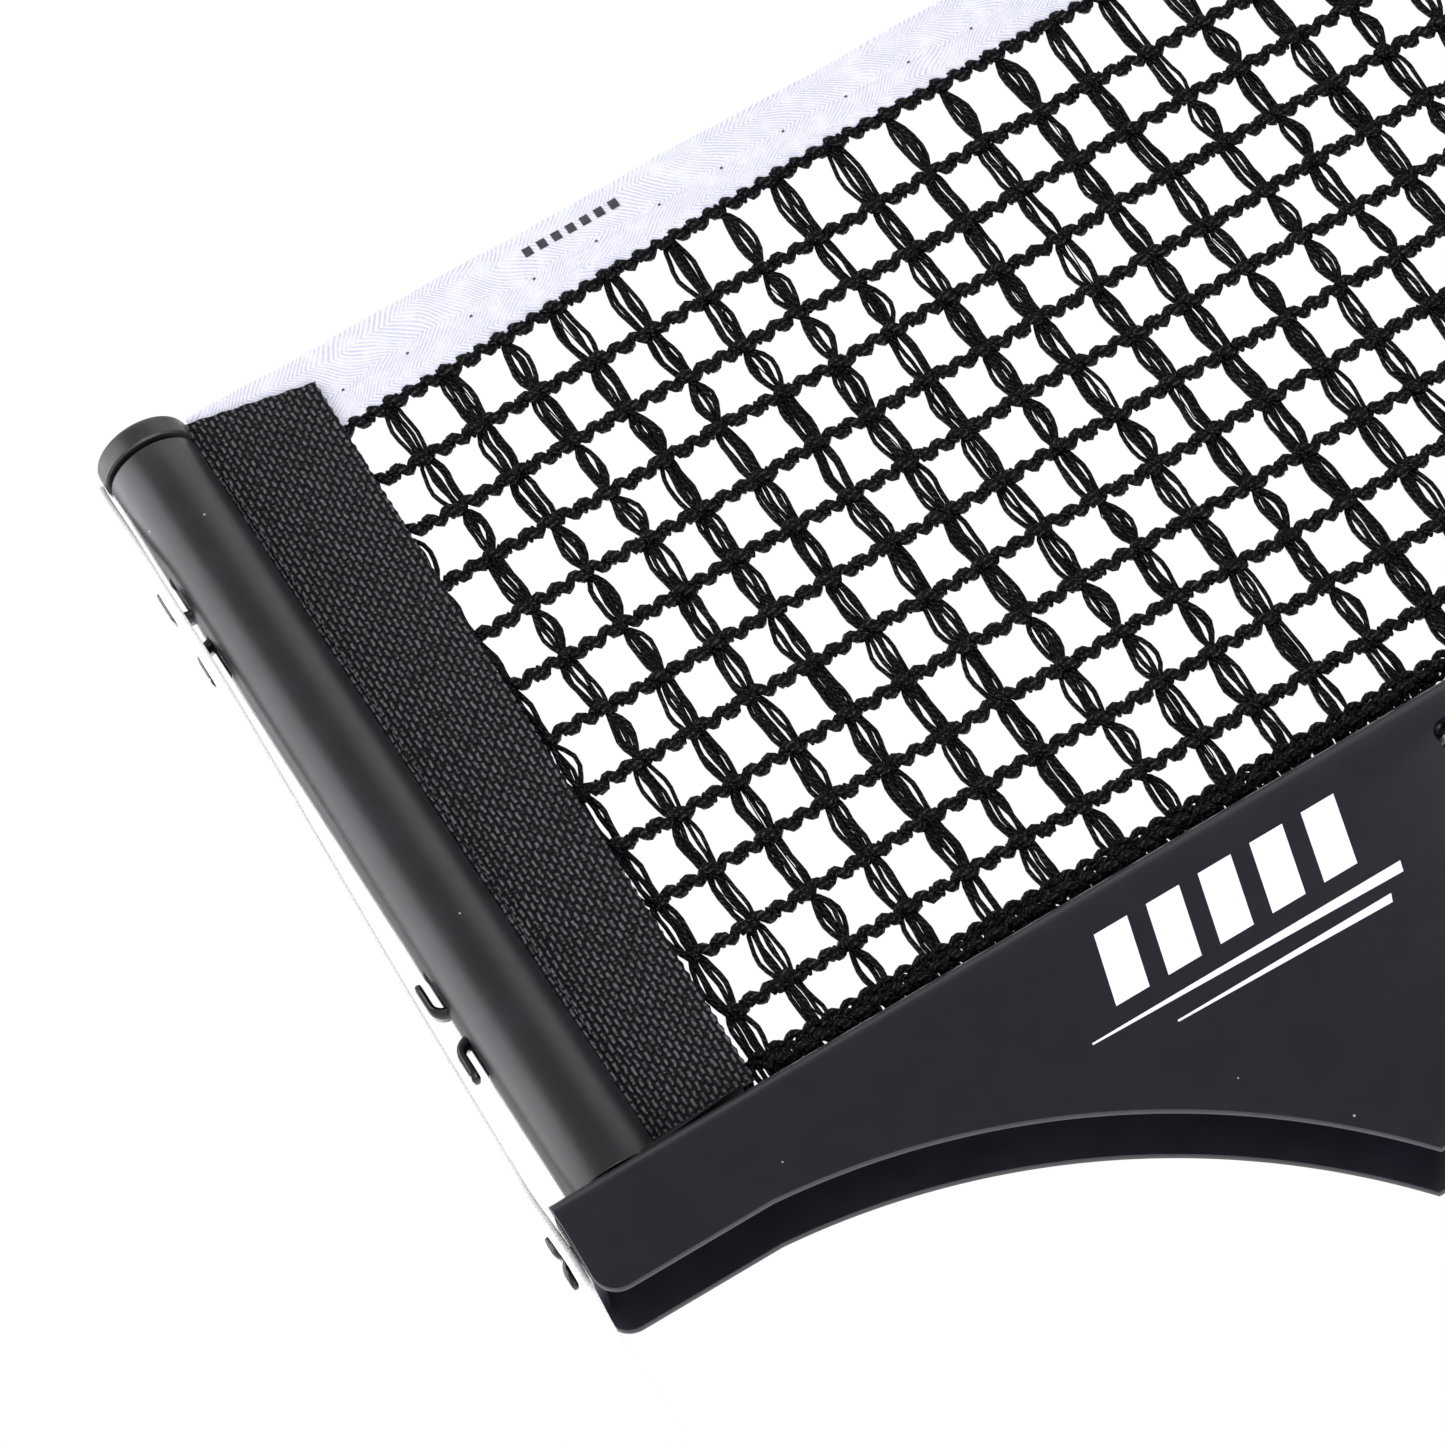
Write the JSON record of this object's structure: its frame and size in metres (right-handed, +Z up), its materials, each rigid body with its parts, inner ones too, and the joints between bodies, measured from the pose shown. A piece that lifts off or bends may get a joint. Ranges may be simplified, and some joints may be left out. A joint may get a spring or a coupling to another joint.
{
  "type": "table tennis net clamp",
  "caption": "Adjustable post and folded steel arm on a screw clamp for the table edge, carrying a net with white tape and a tension cord; the arm slides for height.",
  "frame": {"origin": "on the table top, at the middle of the underside of the upper jaw's pad (mount table_jaw)", "axes": "+X points from the post over the table, along the net; +Z is up; -Y is the front of the arm, which carries the printed motif"},
  "size_m": [0.2958, 0.0691, 0.2625],
  "materials": {
    "black_steel": "satin black powder coat with a fine texture",
    "black_tube": "satin black powder coat on drawn tube",
    "black_plastic": "moulded, softly glossy",
    "zinc_steel": "bright zinc plate",
    "grey_steel": "turned, unplated",
    "rubber_black": "matt",
    "knob_black": "moulded grain",
    "cap_grey": "moulded disc",
    "net_black": "knitted polyester mesh",
    "sleeve_black": "coarse woven polyester",
    "tape_white": "herringbone woven cotton",
    "cord_white": "braided polyester",
    "rod_white": "glass-fibre rod"
  },
  "bodies": {
    "frame": {"clamp_frame": "black_steel", "jaw_pad": "rubber_black", "edge_pad": "rubber_black", "height_nut": "zinc_steel", "clamp_nut": "zinc_steel"},
    "arm": {"arm_bracket": "black_steel", "post_tube": "black_tube", "post_plug": "grey_steel", "post_washer": "zinc_steel", "post_screw": "zinc_steel", "post_cap": "black_plastic", "guide_rivets": "zinc_steel", "screw_saddle": "zinc_steel", "sleeve_rod": "rod_white", "fabric_sleeve": "sleeve_black", "net_panel": "net_black", "net_tape": "tape_white", "headline_cord": "cord_white", "net_roll": "net_black", "roll_strap": "sleeve_black", "tension_cord": "cord_white", "cord_knot": "cord_white"},
    "height_adjuster": {"height_screw": "zinc_steel", "height_wheel": "grey_steel", "wheel_pin": "grey_steel", "screw_clip": "grey_steel"},
    "pad": {"pad_cup": "zinc_steel", "pad_rubber": "rubber_black"},
    "clamp_spindle": {"clamp_screw": "zinc_steel", "clamp_knob": "knob_black", "knob_pin": "grey_steel", "knob_cap": "cap_grey"}
  },
  "joints": [
    {"name": "height", "type": "slide", "parent": "frame", "child": "arm", "axis": [0, 0, 1], "range_m": [-0.0025, 0.005]},
    {"name": "height_turn", "type": "hinge", "parent": "arm", "child": "height_adjuster", "pos_m": [-0.0379, 0, -0.01], "axis": [0, 0, 1], "range_deg": [-730, 1450]},
    {"name": "pad_travel", "type": "slide", "parent": "frame", "child": "pad", "axis": [0, 0, 1], "range_m": [-0.02, 0.01]},
    {"name": "knob_turn", "type": "hinge", "parent": "pad", "child": "clamp_spindle", "pos_m": [0, 0, -0.04], "axis": [0, 0, 1], "range_deg": [-5780, 2900]}
  ],
  "couplings": [
    {"joint": "height_turn", "follows": "height", "rad_per_m": 5026.5},
    {"joint": "knob_turn", "follows": "pad_travel", "rad_per_m": 5026.5}
  ]
}
